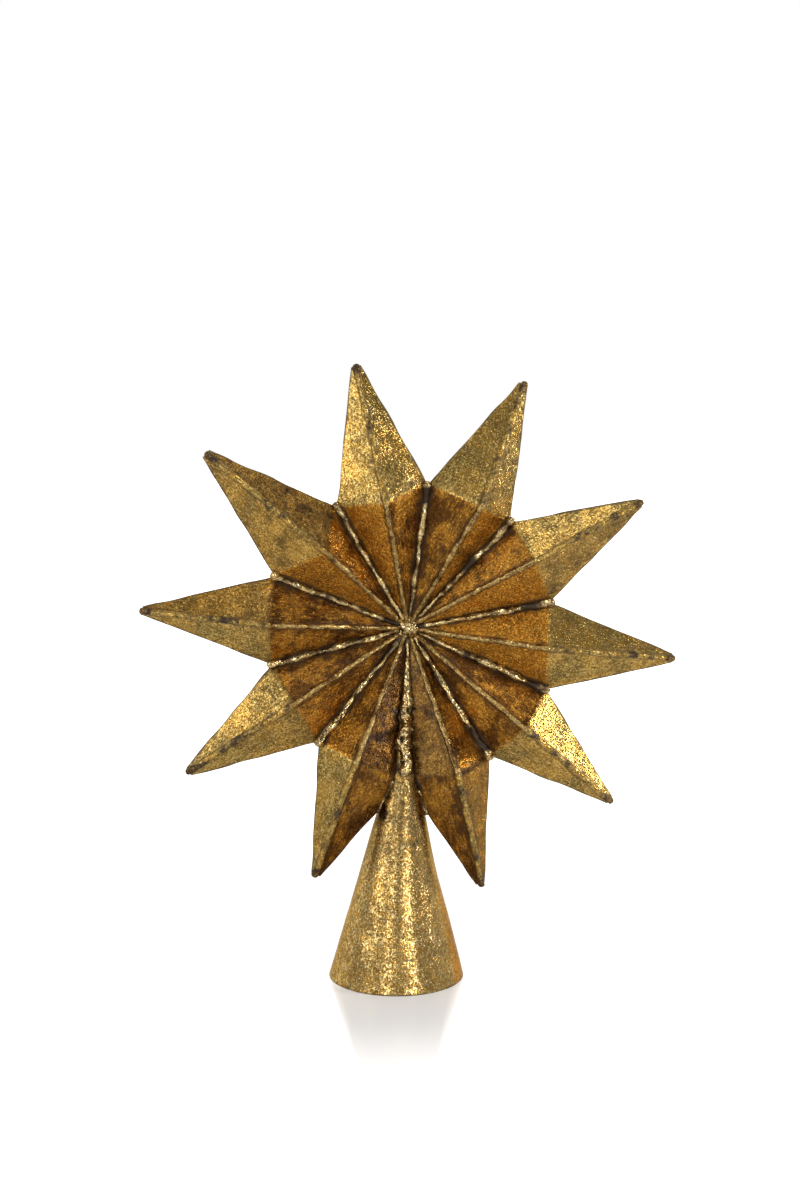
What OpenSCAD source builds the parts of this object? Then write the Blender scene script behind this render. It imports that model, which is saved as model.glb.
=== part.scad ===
// Tree topper star of cut, bent and brazed sheet metal.
// Ten rays of two blades each stand round a dished middle, on a hollow cone that slips over a tree's leader.
// Lengths are in millimetres and angles in degrees.
// The front faces -Y. The cone's rim stands on z = 0, with its middle at the origin.
// Rays and valleys count clockwise from the top as seen from the front, and valley 10 is the topmost.
// A ray's left and right blades are named as if that ray pointed up.

/* [Star] */
// Radius of the ring of ray ends
tip_reach = 129; // [110:0.5:150]
// Radius of the ring of notches between the rays
notch_reach = 70.8; // [60:0.1:80]
// Radius of the ring of crests, where each ray stands highest
crest_reach = 65.5; // [55:0.5:75]
// Height of the crests in front of the notches
crest_rise = 14; // [9:0.5:18]
// Depth of the middle of the dish behind the notches
dish_depth = 19; // [14:0.5:24]
// Sideways place of the middle of the dish, from the middle of the ring
hub_shift = -0.8; // [-2:0.1:2]
// Clockwise turn of the whole ring
star_turn = 5.2; // [3:0.1:8]
// Sideways place of the ring's middle, from the middle of the cone's rim
star_shift = 8.1; // [6:0.1:10]
// Distance of the notches in front of the cone's middle
star_forward = 3; // [1:0.1:5]

/* [Sheet] */
// Thickness of the sheet that the blades and the cone are cut from
sheet_t = 1; // [0.7:0.05:1.4]
// Width of the blunt end of each ray
tip_w = 4.6; // [3:0.1:6]
// Length of the sharp point that each ray would have beyond its reach
tip_point_len = 5; // [3:0.1:7]

/* [Cone] */
// Outer radius of the cone at its rim
cone_r = 32.6; // [28:0.1:38]
// Length of the cone from its rim to the point where its sides would meet
cone_len = 126.5; // [110:0.5:140]
// Lean of the cone towards its right
cone_lean = 1.7; // [0:0.1:3]
// Length of the point that is left off the cone
point_cut = 8.5; // [8:0.1:11]
// Distance of the lowest notch below the cone's point
notch_drop = 31; // [27:0.5:36]
// Width of the open crack between the cone and the blade on its right
crack_w = 0.8; // [0.3:0.1:1.2]

/* [Brazed seams] */
// Radius of the middle boss
hub_r = 6.2; // [5:0.1:7]
// Distance of the boss's centre behind the bottom of the dish
hub_sink = 1.6; // [1:0.1:2.2]
// Radius of a ridge bead where it leaves the boss
ridge_hub_r = 0.6; // [0.4:0.05:0.7]
// Radius of a ridge bead from its crest outwards
ridge_r = 1.5; // [1.1:0.05:1.8]
// Distance of a ridge bead's middle behind the ridge, from its crest outwards
ridge_sink = 0.8; // [0.4:0.05:1]
// Radius of the lump on a crest
crest_lump_r = 1.9; // [1.6:0.1:2.3]
// Radius of a valley bead where it leaves the boss
valley_hub_r = 0.7; // [0.5:0.05:0.8]
// Radius of a valley bead at its notch
valley_r = 1.9; // [1.4:0.05:2.3]
// Distance of a valley bead's middle in front of the valley, at its notch
valley_lift = 0.4; // [0.1:0.05:0.8]
// Radius of the lowest valley's thicker bead where it meets the one over the cone's point
low_valley_r = 2.7; // [2:0.1:3.2]
// Radius of the drop in each notch
notch_drop_r = 2.2; // [1.8:0.1:2.6]
// Radius of the drop on the end of each ray
tip_drop_r = 2.2; // [2.1:0.1:2.6]
// Distance of that drop's middle inside the blunt end
tip_drop_inset = 0.6; // [0.3:0.1:0.8]

/* [Brazing at the cone] */
// Radius of the thick bead over the cone's point
apex_bead_r = 2.9; // [2.3:0.1:3.4]
// Radius of the largest lump on that bead
apex_lump_r = 3.9; // [3.5:0.1:4.4]
// Distance of the thick bead's lower end above the lowest notch
apex_start = 6; // [4:0.5:9]
// Distance of the thick bead's upper end above the cone's point
apex_end = 2; // [0.5:0.5:4]
// Radius of the two beads beside the cone
side_bead_r = 1.1; // [0.8:0.05:1.4]
// Radius of the drops where the blades' edges meet the cone
side_drop_r = 1.9; // [1.5:0.1:2.3]
// Radius of the bead down the cone's back
cone_seam_r = 1; // [0.7:0.05:1.4]
// Distance of that bead's upper end below the cone's point
cone_seam_drop = 26; // [22:0.5:32]

/* [Hidden] */
$fn = 96;
ray_count = 10;
ray_pitch = 360 / ray_count;
low_valley = ray_count / 2;

// The star was cut and bent by hand, so each ray differs a little. The tables run clockwise from ray 1.
tip_shares = [1.009, 0.984, 1.002, 1, 0.997, 0.983, 0.981, 1.005, 1.016, 1.008];
tip_turns = [0.7, 1.7, 1.2, -0.2, -2, -0.9, -0.3, 0.1, -0.2, 0.4];
crest_shares = [1.015, 0.991, 0.946, 1.043, 1.059, 1.007, 1.007, 1.062, 0.885, 0.966];
crest_turns = [3.1, -1.3, 1.4, 0.3, -3.5, 2.9, 2.5, -0.7, 1.1, -0.9];
rise_shares = [0.98, 1.04, 0.95, 1.02, 1, 0.97, 1.05, 0.96, 1.08, 1];
// Notch 1 lies after ray 1, and notch 10 is the topmost.
notch_shares = [0.979, 0.943, 0.989, 0.991, 1.007, 0.973, 0.975, 1.007, 0.991, 0.993];
notch_turns = [0.2, 1, 0.8, -0.4, -1.5, 0.4, 0.8, -0.8, -0.9, -0.1];
// Lumps on the thick bead: how far along it they lie, and their radii, as shares of the largest
lump_place_shares = [0, 0.3, 0.55, 0.8, 1];
lump_size_shares = [0.82, 1, 0.86, 0.97, 0.9];

// The two sides of a ray
left = -1;
right = 1;

// A blade is the same outline, front and back, so its depth along Y is its thickness over the slope's cosine.
blade_slope = atan2(crest_rise, notch_reach * sin(ray_pitch / 2)) / 2
    + atan2(crest_rise + dish_depth, crest_reach) / 2;
sheet_depth = sheet_t / cos(blade_slope);
backing_depth = 2 * hub_r;
cone_slope = atan2(cone_r, cone_len);
cone_wall = sheet_t / cos(cone_slope);
overrun = 2 * sheet_t;
cone_axis = [sin(cone_lean), 0, cos(cone_lean)];

// The lowest notch hangs on the cone, and the ring's middle follows from it.
notch_height = (cone_len - notch_drop) * cos(cone_lean);
star_height = notch_height
    - notch_reach * notch_shares[low_valley - 1] * cos(valley_angle(low_valley));

function two_digits(number) = str(number < 10 ? "0" : "", number);
function node_name(stem, number, ending) = str(stem, "_", two_digits(number), ending);

// Angles clockwise from straight up
function ray_angle(ray) = star_turn + ray_pitch * (ray - 0.5);
function valley_angle(valley) = star_turn + ray_pitch * valley + notch_turns[valley - 1];

// A place on the star: reach from the ring's middle, angle, and distance behind the notches
function ring_place(reach, angle, back) = [
    star_shift + reach * sin(angle),
    back - star_forward,
    star_height + reach * cos(angle)
];

// The corners that the blades share
hub_point = ring_place(0, 0, dish_depth) + [hub_shift, 0, 0];
function notch_point(valley) = ring_place(notch_reach * notch_shares[valley - 1], valley_angle(valley), 0);
function crest_point(ray) = ring_place(
    crest_reach * crest_shares[ray - 1],
    ray_angle(ray) + crest_turns[ray - 1],
    -crest_rise * rise_shares[ray - 1]
);
function sharp_tip(ray) = ring_place(
    tip_reach * tip_shares[ray - 1] + tip_point_len,
    ray_angle(ray) + tip_turns[ray - 1],
    0
);

// Part of a ray that its blunt end cuts off
blunt_share = tip_w / 2 / (notch_reach * sin(ray_pitch / 2));
function between(from, to, share) = from + (to - from) * share;
function along(from, to, distance) = between(from, to, distance / norm(to - from));
function ridge_end(ray) = between(sharp_tip(ray), crest_point(ray), blunt_share);

// The valley on one side of a ray, where valley 10 is also the one before ray 1
function valley_beside(ray, side) = side == right ? ray : (ray + ray_count - 2) % ray_count + 1;
function next_ray(ray) = ray % ray_count + 1;

// Blade corners as seen from the front: ridge end, outer corner, notch, crest and hub
function blade_front(ray, side) = let (notch = notch_point(valley_beside(ray, side))) [
    ridge_end(ray),
    between(sharp_tip(ray), notch, blunt_share),
    notch,
    crest_point(ray),
    hub_point
];
blade_faces = [
    [0, 1, 2, 3], [3, 2, 4],
    [8, 7, 6, 5], [9, 7, 8],
    [0, 5, 6, 1], [1, 6, 7, 2], [2, 7, 9, 4], [4, 9, 8, 3], [3, 8, 5, 0]
];
function turned_over(face) = [for (i = [len(face) - 1:-1:0]) face[i]];

// A blade's outline, bent on the line from crest to notch and carried back by a depth
module blade_block(ray, side, depth) {
    front = blade_front(ray, side);
    back = [for (corner = front) corner + [0, depth, 0]];
    faces = side == right ? blade_faces : [for (face = blade_faces) turned_over(face)];
    polyhedron(points = concat(front, back), faces = faces);
}

// What lies behind the fronts of a ray's two blades
module ray_backing(ray) {
    blade_block(ray, left, backing_depth);
    blade_block(ray, right, backing_depth);
}

// What lies behind the fronts of the two blades that meet in a valley
module valley_backing(valley) {
    blade_block(valley, right, backing_depth);
    blade_block(next_ray(valley), left, backing_depth);
}

// A straight round rod from one place to another
module rod(from, to, from_r, to_r) {
    way = to - from;
    translate(from)
        rotate([0, acos(way.z / norm(way)), atan2(way.y, way.x)])
            cylinder(h = norm(way), r1 = from_r, r2 = to_r);
}

module ball(place, radius) {
    translate(place) sphere(r = radius);
}

// The cone's outer form, grown by a clearance, from below the rim to the cut point and a run-out past both
module cone_body(growth, run_out = 0) {
    low = -overrun - run_out;
    high = cone_len - point_cut + run_out;
    rotate([0, cone_lean, 0])
        translate([0, 0, low])
            cylinder(
                h = high - low,
                r1 = (cone_len - low) * tan(cone_slope) + growth,
                r2 = (cone_len - high) * tan(cone_slope) + growth
            );
}

// Half space below the table
module below_rim() {
    size = 4 * cone_r;
    translate([-size / 2, -size / 2, -size]) cube(size);
}

// A place on the cone's skin: height along its axis, to its front or its back
function cone_skin(height, facing) =
    cone_axis * height + [0, facing * (cone_len - height) * tan(cone_slope), 0];

// Share of the way from a place inside the cone to one outside, at which the line leaves the cone
function leaving_share(from, to) =
    let (
        way = to - from,
        rise = way * cone_axis,
        room = cone_len - from * cone_axis,
        side_from = from - cone_axis * (from * cone_axis),
        side_way = way - cone_axis * rise,
        k = tan(cone_slope) ^ 2,
        a = side_way * side_way - k * rise ^ 2,
        b = side_from * side_way + k * room * rise,
        c = side_from * side_from - k * room ^ 2
    )
    (sqrt(b ^ 2 - a * c) - b) / a;
function leaving_point(from, to) = between(from, to, leaving_share(from, to));

module ray_blade(ray, side) {
    beside_cone = valley_beside(ray, side) == low_valley;
    color("goldenrod")
        difference() {
            blade_block(ray, side, sheet_depth);
            if (beside_cone) cone_body(side == right ? crack_w : 0);
        }
}

module hub_ball() {
    ball(hub_point + [0, hub_sink, 0], hub_r);
}

module hub_boss() {
    color("darkgoldenrod")
        difference() {
            hub_ball();
            for (ray = [1:ray_count]) ray_backing(ray);
        }
}

// The ball is turned with its ray, so that its poles lie along the ray.
module tip_ball(ray) {
    middle = along(ridge_end(ray), crest_point(ray), tip_drop_inset);
    translate(middle + [0, sheet_depth / 2, 0])
        rotate([0, ray_angle(ray), 0])
            sphere(r = tip_drop_r);
}

module tip_drop(ray) {
    color("saddlebrown")
        difference() {
            tip_ball(ray);
            ray_backing(ray);
        }
}

module ridge_seam(ray) {
    sink = [0, ridge_sink, 0];
    crest = crest_point(ray) + sink;
    start = along(hub_point, crest_point(ray), hub_r / 2) + sink * ridge_hub_r / ridge_r;
    color("darkgoldenrod")
        difference() {
            union() {
                rod(start, crest, ridge_hub_r, ridge_r);
                rod(crest, ridge_end(ray) + sink, ridge_r, ridge_r);
                ball(crest, crest_lump_r);
            }
            ray_backing(ray);
            hub_ball();
            tip_ball(ray);
        }
}

// The thick bead runs up the cone's front to its cut point and then back into the lowest valley.
apex_low = cone_skin(cone_len - notch_drop + apex_start, -1);
apex_mid = cone_skin(cone_len - point_cut, -1);
valley_top = notch_point(low_valley);
apex_high = between(valley_top, hub_point, (notch_drop + apex_end) / (hub_point.z - valley_top.z));
function apex_place(share) = share < 0.5
    ? between(apex_low, apex_mid, 2 * share)
    : between(apex_mid, apex_high, 2 * share - 1);

module apex_bead() {
    rod(apex_low, apex_mid, apex_bead_r, apex_bead_r);
    rod(apex_mid, apex_high, apex_bead_r, apex_bead_r);
    for (i = [0:len(lump_place_shares) - 1])
        ball(apex_place(lump_place_shares[i]), apex_lump_r * lump_size_shares[i]);
}

module valley_seam(valley) {
    lift = [0, -valley_lift, 0];
    lowest = valley == low_valley;
    notch = lowest ? apex_high : notch_point(valley);
    start = along(hub_point, notch, hub_r / 2) + lift * valley_hub_r / valley_r;
    notch_r = lowest ? low_valley_r : valley_r;
    color("darkgoldenrod")
        difference() {
            union() {
                rod(start, notch + lift, valley_hub_r, notch_r);
                if (!lowest) ball(notch + [0, sheet_depth / 2, 0], notch_drop_r);
            }
            valley_backing(valley);
            hub_ball();
            if (lowest) apex_bead();
        }
}

module apex_braze() {
    color("gold")
        difference() {
            apex_bead();
            cone_body(0);
            valley_backing(low_valley);
        }
}

// The cone is rolled from one sheet, open at the rim and at its cut point.
module cone_shell() {
    color("goldenrod")
        difference() {
            cone_body(0);
            cone_body(-cone_wall, sheet_t);
            below_rim();
        }
}

module cone_seam() {
    low = cone_skin(-overrun, 1);
    high = cone_skin(cone_len - cone_seam_drop, 1);
    color("darkgoldenrod")
        difference() {
            rod(low, high, cone_seam_r, cone_seam_r);
            cone_body(0);
            below_rim();
        }
}

// A bead beside the cone: over the blade's free edge and a share of the way up to its bend
module cone_braze(ray, side, reach_share) {
    edge = leaving_point(valley_top, sharp_tip(ray));
    bend = leaving_point(valley_top, crest_point(ray));
    finish = between(edge, bend, reach_share);
    color("darkgoldenrod")
        difference() {
            union() {
                ball(edge + [0, sheet_depth / 2, 0], side_drop_r);
                rod(edge, finish, side_bead_r, side_bead_r);
            }
            cone_body(0);
            blade_block(ray, side, backing_depth);
        }
}

for (ray = [1:ray_count]) {
    ray_blade(ray, left);
    ray_blade(ray, right);
    ridge_seam(ray);
    valley_seam(ray);
    tip_drop(ray);
}
hub_boss();
cone_shell();
cone_seam();
apex_braze();
cone_braze(low_valley + 1, left, 0.9);  // cone_braze_left
cone_braze(low_valley, right, 0.7);  // cone_braze_right
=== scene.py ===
from functools import partial
import bmesh
import bpy
import numpy as np
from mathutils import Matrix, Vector
from numpy.linalg import norm


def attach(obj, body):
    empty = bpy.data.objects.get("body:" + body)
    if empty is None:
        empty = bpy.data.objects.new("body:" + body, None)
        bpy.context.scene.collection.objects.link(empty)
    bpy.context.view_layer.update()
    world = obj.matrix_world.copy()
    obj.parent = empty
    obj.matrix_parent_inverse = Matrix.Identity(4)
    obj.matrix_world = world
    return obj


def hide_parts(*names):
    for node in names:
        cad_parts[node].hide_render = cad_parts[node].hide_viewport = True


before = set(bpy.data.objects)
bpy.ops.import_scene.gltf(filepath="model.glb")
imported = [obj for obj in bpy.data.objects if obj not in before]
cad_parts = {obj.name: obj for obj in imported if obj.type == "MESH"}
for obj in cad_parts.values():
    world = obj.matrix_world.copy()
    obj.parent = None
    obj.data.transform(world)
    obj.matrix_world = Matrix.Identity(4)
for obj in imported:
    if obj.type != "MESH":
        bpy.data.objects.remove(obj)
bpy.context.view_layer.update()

# Tree topper star: cut, bent and brazed sheet under imitation gold leaf and a brown glaze.
# Shapes are worked out in millimetres in the part's own frame, front towards -Y, and written in metres.
mm = 0.001
scene = bpy.context.scene
scene.view_settings.view_transform = "Standard"

view = dict(place=(-86.9, -727.5, 248.2), aim=(1.2, -3.0, 182.1), lens=46.506, filmAndShade=36)

def makeCamera(v):
    data = bpy.data.cameras.new("camera")
    data.lens = v["lens"]
    data.sensor_width = v["filmAndShade"]  # the long side's
    camera = bpy.data.objects.new("camera", data)
    scene.collection.objects.link(camera)
    camera.location = Vector(v["place"]) * mm
    camera.rotation_euler = (Vector(v["aim"]) - Vector(v["place"])).to_track_quat("-Z", "Y").to_euler()
    scene.camera = camera

makeCamera(view)
print("camera set")

# The star's own sizes. Rays and valleys count clockwise from the top, and valley 10 is the topmost.
star = dict(
    tipReach=129, notchReach=70.8, crestReach=65.5, crestRise=14, dishDepth=19, hubShift=-0.8,
    turn=5.2, shift=8.1, forward=3, pointLen=5, tipWidth=4.6, depth=1.151, pitch=36,
    tipShares=(1.009, 0.984, 1.002, 1, 0.997, 0.983, 0.981, 1.005, 1.016, 1.008),
    tipTurns=(0.7, 1.7, 1.2, -0.2, -2, -0.9, -0.3, 0.1, -0.2, 0.4),
    crestShares=(1.015, 0.991, 0.946, 1.043, 1.059, 1.007, 1.007, 1.062, 0.885, 0.966),
    crestTurns=(3.1, -1.3, 1.4, 0.3, -3.5, 2.9, 2.5, -0.7, 1.1, -0.9),
    riseShares=(0.98, 1.04, 0.95, 1.02, 1, 0.97, 1.05, 0.96, 1.08, 1),
    notchShares=(0.979, 0.943, 0.989, 0.991, 1.007, 0.973, 0.975, 1.007, 0.991, 0.993),
    notchTurns=(0.2, 1, 0.8, -0.4, -1.5, 0.4, 0.8, -0.8, -0.9, -0.1),
)
cone = dict(
    radius=32.6, length=126.5, lean=1.7, pointCut=8.5, notchDrop=31, wall=1.033,
    dent=0.22, dentSize=24, ripple=0.05, rippleSize=5, pit=0.8, pitWide=1.7, pitHeight=92, pitAngle=272,
    hollow=1.4, hollowHeight=54, hollowLong=24,  # its right side was rolled a little flat
    rimSteps=5, around=320, outside=170, inside=70,
)
lowValley = 4  # index of the valley that stands on the cone

def soften(t):  # 3 t^2 - 2 t^3, clamped to 0..1
    t = np.clip(t, 0, 1)
    return t * t * (3 - 2 * t)

def rising(x, amount, start, length):  # grows from 0 at the start to the amount over the length
    return amount * soften((x - start) / length)

def hump(x, at, wide):  # exp(-((x - at)/wide)^2): 1 in the middle, fading to both sides
    return np.exp(-(((x - at) / wide) ** 2))

def softMax(a, b, soft):  # (a + b)/2 + sqrt(((a - b)/2)^2 + soft^2): the larger, with the corner rounded
    return (a + b) / 2 + np.sqrt(((a - b) / 2) ** 2 + soft ** 2)

lattice = np.random.default_rng(11).uniform(-1, 1, (48, 48, 48))

def lumps(points, size, shift=0.0):
    # Smooth random field from -1 to 1: lattice values blended between cell corners by 6t^5 - 15t^4 + 10t^3.
    # Every use has a shift of its own, so that no two fields are alike.
    q = np.asarray(points, float) / size + shift
    cell = np.floor(q).astype(int)
    t = q - cell
    t = t ** 3 * (t * (6 * t - 15) + 10)
    total = 0
    for corner in np.ndindex(2, 2, 2):
        weight = np.prod(np.where(corner, t, 1 - t), axis=-1)
        i = (cell + corner) % len(lattice)
        total = total + weight * lattice[i[..., 0], i[..., 1], i[..., 2]]
    return total

def unit(v):
    return v / norm(v, axis=-1, keepdims=True)

def between(a, b, share):  # a + (b - a) share, for one share or a row of them
    a, b = np.asarray(a, float), np.asarray(b, float)
    return a + (b - a) * np.asarray(share, float)[..., None]

# The cone: an axis that leans in the XZ plane, and a radius that shrinks evenly along it.
lean = np.radians(cone["lean"])
coneAxis = np.array([np.sin(lean), 0, np.cos(lean)])
coneSide = np.array([np.cos(lean), 0, -np.sin(lean)])
coneTaper = cone["radius"] / cone["length"]
coneTop = cone["length"] - cone["pointCut"]

def coneGap(points):  # distance outside the cone's skin, negative inside; all is outside above the cut
    h = points @ coneAxis
    away = norm(points - h[..., None] * coneAxis, axis=-1)
    gap = (away - (cone["length"] - h) * coneTaper) * np.cos(np.arctan(coneTaper))
    return np.maximum(gap, h - coneTop)

def coneSkin(h, facing):  # the skin's place at a height along the axis, at the front (-1) or the back (1)
    return coneAxis * h + np.array([0, facing * (cone["length"] - h) * coneTaper, 0])

# The star's corners, worked out as the part's source does.
def valleyTurn(i):
    return star["turn"] + star["pitch"] * (i + 1) + star["notchTurns"][i]

lowReach = star["notchReach"] * star["notchShares"][lowValley]
lowFall = lowReach * np.cos(np.radians(valleyTurn(lowValley)))  # negative: the low notch is under the middle
starHeight = (cone["length"] - cone["notchDrop"]) * np.cos(lean) - lowFall

def ringPlace(reach, degrees, back):
    turn = np.radians(degrees)
    x = star["shift"] + reach * np.sin(turn)
    return np.array([x, back - star["forward"], starHeight + reach * np.cos(turn)])

def rayTurn(i):
    return star["turn"] + star["pitch"] * (i + 0.5)

rays = range(10)
hub = ringPlace(0, 0, star["dishDepth"]) + [star["hubShift"], 0, 0]
notches = [ringPlace(star["notchReach"] * star["notchShares"][i], valleyTurn(i), 0) for i in rays]
crests = [
    ringPlace(
        star["crestReach"] * star["crestShares"][i], rayTurn(i) + star["crestTurns"][i],
        -star["crestRise"] * star["riseShares"][i])
    for i in rays
]
points = [
    ringPlace(star["tipReach"] * star["tipShares"][i] + star["pointLen"], rayTurn(i) + star["tipTurns"][i], 0)
    for i in rays
]
bluntShare = star["tipWidth"] / 2 / (star["notchReach"] * np.sin(np.radians(star["pitch"] / 2)))
ridgeEnds = [between(points[i], crests[i], bluntShare) for i in rays]

def notchBeside(i, side):  # 0 is the ray's left and 1 its right, as if it pointed up
    return notches[i - 1] if side == 0 else notches[i]

def planeThrough(a, b, c):  # p, q and r of y = p x + q z + r through three corners
    corners = np.array([a, b, c])
    return np.linalg.solve(np.column_stack([corners[:, 0], corners[:, 2], np.ones(3)]), corners[:, 1])

innerPlanes = [[planeThrough(hub, crests[i], notchBeside(i, s)) for s in (0, 1)] for i in rays]
outerPlanes = [[planeThrough(points[i], crests[i], notchBeside(i, s)) for s in (0, 1)] for i in rays]

sheet = dict(crease=0.4, dent=0.34, dentSize=19, ripple=0.07, rippleSize=5.5)

def sheetDents(x, z):  # how far hand work has pushed the sheet back: two smooth random fields of place
    place = np.stack([x, 0 * x, z], -1)
    broad = lumps(place, sheet["dentSize"], 3.3)
    return sheet["dent"] * broad + sheet["ripple"] * lumps(place, sheet["rippleSize"], 8.1)

def bladeFront(i, side, x, z):  # y of a blade's front: the further back of its two planes, the bend rounded
    inner = innerPlanes[i][side] @ [x.ravel(), z.ravel(), np.ones(x.size)]
    outer = outerPlanes[i][side] @ [x.ravel(), z.ravel(), np.ones(x.size)]
    return softMax(inner, outer, sheet["crease"]).reshape(x.shape)

def starFront(x, z):  # y of the whole star's front: a ray is its further blade, the star its foremost ray
    each = [np.maximum(bladeFront(i, 0, x, z), bladeFront(i, 1, x, z)) for i in rays]
    return np.min(each, axis=0) + sheetDents(x, z)

def proud(p):  # how far points stand out in front of the star's sheet
    return starFront(p[..., 0], p[..., 2]) - p[..., 1]

def lineDistance(p, a, b):  # distance from the line through a and b, seen from the front
    a, b = np.asarray(a)[[0, 2]], np.asarray(b)[[0, 2]]
    way = unit(b - a)
    gap = p[..., [0, 2]] - a
    return gap[..., 0] * way[1] - gap[..., 1] * way[0]

# Meshes and pieces
weld = dict(close=0.002, sliver=0.0005)  # points nearer than this become one, and shorter edges go

def buildPiece(node, grid, fields, uv):
    # Faces over a grid of points that closes in its second direction; what its ends drew together is welded.
    n, m = grid.shape[:2]
    index = np.arange(n * m).reshape(n, m)
    right = np.roll(index, -1, axis=1)
    faces = np.stack([index[:-1], index[1:], right[1:], right[:-1]], -1).reshape(-1, 4)
    flat = grid.reshape(-1, 3)
    a, b, c, d = (flat[faces[:, k]] for k in range(4))
    volume = np.einsum("ij,ij->", a, np.cross(b, c)) + np.einsum("ij,ij->", a, np.cross(c, d))
    if volume < 0:  # faces point outwards
        faces = faces[:, ::-1]
    mesh = bpy.data.meshes.new(node + "_gilt")
    mesh.vertices.add(len(flat))
    mesh.vertices.foreach_set("co", (flat * mm).astype(np.float32).ravel())
    mesh.loops.add(faces.size)
    mesh.loops.foreach_set("vertex_index", faces.astype(np.int32).ravel())
    mesh.polygons.add(len(faces))
    mesh.polygons.foreach_set("loop_start", np.arange(0, faces.size, 4, dtype=np.int32))
    mesh.update(calc_edges=True)
    for name, values in fields.items():
        layer = mesh.attributes.new(name, "FLOAT", "POINT")
        layer.data.foreach_set("value", np.broadcast_to(values, (n, m)).astype(np.float32).ravel())
    layer = mesh.uv_layers.new(name="flow")  # across and along, in metres
    layer.data.foreach_set("uv", (uv.reshape(-1, 2)[faces.ravel()] * mm).astype(np.float32).ravel())
    work = bmesh.new()
    work.from_mesh(mesh)
    bmesh.ops.remove_doubles(work, verts=work.verts, dist=weld["close"] * mm)
    bmesh.ops.dissolve_degenerate(work, edges=work.edges, dist=weld["sliver"] * mm)
    work.to_mesh(mesh)
    work.free()
    mesh.polygons.foreach_set("use_smooth", np.ones(len(mesh.polygons), bool))
    piece = bpy.data.objects.new(node + "_gilt", mesh)
    scene.collection.objects.link(piece)
    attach(piece, "root")
    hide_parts(node)
    return piece

def settle(p, tuck):  # draws what lies deeper behind the sheet's front than the tuck back up to it
    limit = starFront(p[..., 0], p[..., 2]) + tuck
    return np.stack([p[..., 0], np.minimum(p[..., 1], limit), p[..., 2]], -1)

def settleOnCone(p, tuck):  # the same for the cone: pushes outwards along its radius
    h = p @ coneAxis
    out = p - h[..., None] * coneAxis
    away = norm(out, axis=-1)
    least = (cone["length"] - h) * coneTaper - tuck
    push = np.where(h < coneTop, np.maximum(least / np.maximum(away, 0.01), 1), 1)
    return h[..., None] * coneAxis + out * push[..., None]

bead = dict(wanderSize=9, wanderShifts=(1.3, 2.7, 4.9), streakShift=41)  # each sways and streaks differently

def beadGrid(path, radius, look, seed, tuck, onCone=False):
    # A round tube along a path: centre + radius (cos a side + sin a up), swollen by smooth random fields.
    # Its ends close as half ellipses: radius times sqrt(1 - (1 - s/e)^2) over the last e millimetres.
    step = norm(np.diff(path, axis=0), axis=1)
    s = np.concatenate([[0], np.cumsum(step)])
    for ends, e in ((s, look["ends"][0]), (s[-1] - s, look["ends"][1])):
        radius = radius * np.sqrt(1 - (1 - np.clip(ends / e, 0, 1)) ** 2)
    sway = [lumps(path, bead["wanderSize"], seed + shift) for shift in bead["wanderShifts"]]
    path = path + look["wander"] * np.stack(sway, -1)
    tangent = unit(np.gradient(path, axis=0))
    side = unit(np.cross(tangent, [0, 1, 0]))
    up = np.cross(side, tangent)
    angle = np.linspace(0, 2 * np.pi, look["around"], endpoint=False)[:, None]
    ring = np.cos(angle) * side[:, None] + np.sin(angle) * up[:, None]
    out = ring * radius[:, None, None]
    p = path[:, None] + out
    swell = 1 + look["lump"] * lumps(p, look["lumpSize"], seed)
    swell = swell + look["pock"] * lumps(p, look["pockSize"], seed)
    p = path[:, None] + out * swell[..., None]
    tuck = tuck if np.isscalar(tuck) else tuck[:, None]
    if onCone:
        p = settleOnCone(p, tuck)
    p = settle(p, tuck)
    blank = 0 * p[..., 0]
    uv = [blank + angle[None, :, 0] * radius.max(), blank + s[:, None] + bead["streakShift"] * seed]
    return p, np.stack(uv, -1)

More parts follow.
